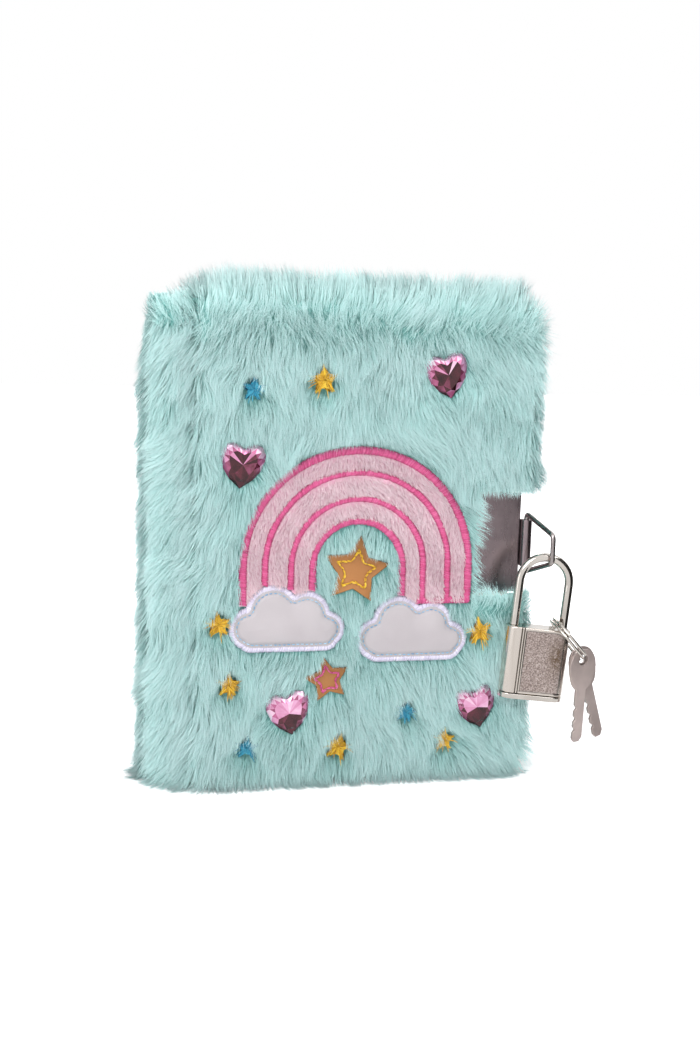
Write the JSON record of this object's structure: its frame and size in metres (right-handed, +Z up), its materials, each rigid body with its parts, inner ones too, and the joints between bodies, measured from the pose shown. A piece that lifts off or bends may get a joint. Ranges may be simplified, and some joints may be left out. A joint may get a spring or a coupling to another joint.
{
  "type": "plush journal",
  "caption": "Small lockable diary in padded plush covers with applique and gems, wire bails on clasp plates, a hanging padlock, split ring and flat keys.",
  "frame": {"origin": "middle of the foot of the spine, on the surface that the closed journal stands on", "axes": "+X runs from the spine to the fore edge, -Y points out of the front cover, +Z is up along the spine"},
  "size_m": [0.1417, 0.0587, 0.1475],
  "materials": {
    "mint_plush": "long soft pile, brushed",
    "greyboard": "matt pressed board",
    "foam": "soft white sheet foam",
    "lining_cloth": "fine woven cotton",
    "page_paper": "uncoated writing paper",
    "pink_endpaper": "smooth coloured paper",
    "polished_steel": "polished bright",
    "nickel": "nickel plate, faces finely grained",
    "key_metal": "stamped, nickel plated",
    "brass": "drawn bar, bright",
    "pink_plush": "short pile",
    "white_leatherette": "smooth coated, semi-matt",
    "tan_leatherette": "smooth coated, semi-matt",
    "gold_thread": "shiny embroidery thread",
    "blue_thread": "shiny embroidery thread",
    "pink_gem": "cut facets with a mirrored back"
  },
  "bodies": {
    "root": {"spine_board": "greyboard", "spine_plush": "mint_plush", "spine_lining": "lining_cloth", "head_band": "lining_cloth", "tail_band": "lining_cloth", "page_section_4": "page_paper"},
    "front_cover": {"front_board": "greyboard", "front_padding": "foam", "front_plush": "mint_plush", "front_endpaper": "pink_endpaper", "front_plate": "polished_steel", "applique_outer_band": "pink_plush", "applique_middle_band": "pink_plush", "applique_inner_band": "pink_plush", "applique_cloud_left": "white_leatherette", "applique_cloud_right": "white_leatherette", "applique_big_star": "tan_leatherette", "applique_small_star": "tan_leatherette", "gem_heart_1": "pink_gem", "gem_heart_2": "pink_gem", "gem_heart_3": "pink_gem", "gem_heart_4": "pink_gem", "embroidered_star_1": "gold_thread", "embroidered_star_2": "gold_thread", "embroidered_star_3": "gold_thread", "embroidered_star_4": "gold_thread", "embroidered_star_5": "gold_thread", "embroidered_star_6": "gold_thread", "embroidered_star_7": "blue_thread", "embroidered_star_8": "blue_thread", "embroidered_star_9": "blue_thread"},
    "back_cover": {"back_board": "greyboard", "back_padding": "foam", "back_plush": "mint_plush", "back_endpaper": "pink_endpaper", "back_plate": "polished_steel"},
    "flyleaf": {"front_flyleaf": "page_paper"},
    "leaves_1": {"page_section_1": "page_paper"},
    "leaves_2": {"page_section_2": "page_paper"},
    "leaves_3": {"page_section_3": "page_paper"},
    "bail_of_front": {"front_bail": "polished_steel"},
    "bail_of_back": {"back_bail": "polished_steel"},
    "shackle": {"lock_shackle": "nickel"},
    "lock_case": {"lock_housing": "nickel", "lock_base_plate": "nickel", "heel_spring": "polished_steel"},
    "bolt": {"lock_bolt": "brass"},
    "plug": {"lock_plug": "brass", "lock_wafer_1": "brass", "lock_wafer_2": "brass", "lock_wafer_3": "brass"},
    "ring": {"key_ring": "nickel"},
    "first_key": {"key_1": "key_metal"},
    "second_key": {"key_2": "key_metal"}
  },
  "joints": [
    {"name": "front_cover_hinge", "type": "hinge", "parent": "root", "child": "front_cover", "pos_m": [0.003, -0.0092, 0], "axis": [0, 0, -1], "range_deg": [0, 170]},
    {"name": "back_cover_hinge", "type": "hinge", "parent": "root", "child": "back_cover", "pos_m": [0.003, 0.0092, 0], "axis": [0, 0, 1], "range_deg": [0, 140]},
    {"name": "flyleaf_turn", "type": "hinge", "parent": "root", "child": "flyleaf", "pos_m": [0.0044, -0.006, 0], "axis": [0, 0, -1], "range_deg": [0, 102]},
    {"name": "leaves_1_turn", "type": "hinge", "parent": "root", "child": "leaves_1", "pos_m": [0.0044, -0.0057, 0], "axis": [0, 0, -1], "range_deg": [0, 68]},
    {"name": "leaves_2_turn", "type": "hinge", "parent": "root", "child": "leaves_2", "pos_m": [0.0044, -0.0026, 0], "axis": [0, 0, -1], "range_deg": [0, 34]},
    {"name": "leaves_3_turn", "type": "hinge", "parent": "root", "child": "leaves_3", "pos_m": [0.0044, 0.0005, 0], "axis": [0, 0, -1], "range_deg": [0, 17]},
    {"name": "front_bail_hinge", "type": "hinge", "parent": "front_cover", "child": "bail_of_front", "pos_m": [0.1162, -0.0108, 0.07375], "axis": [0, 0, 1], "range_deg": [-3, 80]},
    {"name": "back_bail_hinge", "type": "hinge", "parent": "back_cover", "child": "bail_of_back", "pos_m": [0.1162, 0.0108, 0.07375], "axis": [0, 0, 1], "range_deg": [-108, 5]},
    {"name": "padlock_swing", "type": "hinge", "parent": "bail_of_front", "child": "shackle", "pos_m": [0.11894, -0.02269, 0.06846], "axis": [0.225, -0.9744, 0], "range_deg": [-8, 18]},
    {"name": "case_drop", "type": "slide", "parent": "shackle", "child": "lock_case", "axis": [-0.0858, 0.0151, -0.9962], "range_m": [0, 0.0044]},
    {"name": "bolt_draw", "type": "slide", "parent": "lock_case", "child": "bolt", "axis": [-0.9811, 0.173, 0.0872], "range_m": [0, 0.0013]},
    {"name": "key_turn", "type": "hinge", "parent": "lock_case", "child": "plug", "pos_m": [0.11622, -0.02221, 0.03688], "axis": [0.0858, -0.0151, 0.9962], "range_deg": [0, 90]},
    {"name": "ring_swing", "type": "hinge", "parent": "shackle", "child": "ring", "pos_m": [0.12179, -0.02319, 0.05094], "axis": [-0.1736, -0.9848, 0], "range_deg": [0, 35]},
    {"name": "key_1_swing", "type": "hinge", "parent": "ring", "child": "first_key", "pos_m": [0.13111, -0.02659, 0.03929], "axis": [-0.1736, -0.9848, 0], "range_deg": [-6, 18]},
    {"name": "key_2_swing", "type": "hinge", "parent": "ring", "child": "second_key", "pos_m": [0.13171, -0.02318, 0.03929], "axis": [-0.1736, -0.9848, 0], "range_deg": [-12, 6]}
  ],
  "couplings": [
    {"joint": "flyleaf_turn", "follows": "front_cover_hinge", "ratio": 0.6},
    {"joint": "leaves_1_turn", "follows": "front_cover_hinge", "ratio": 0.4},
    {"joint": "leaves_2_turn", "follows": "front_cover_hinge", "ratio": 0.2},
    {"joint": "leaves_3_turn", "follows": "front_cover_hinge", "ratio": 0.1},
    {"joint": "bolt_draw", "follows": "case_drop", "ratio": 0.29545},
    {"joint": "key_turn", "follows": "case_drop", "rad_per_m": 357}
  ]
}
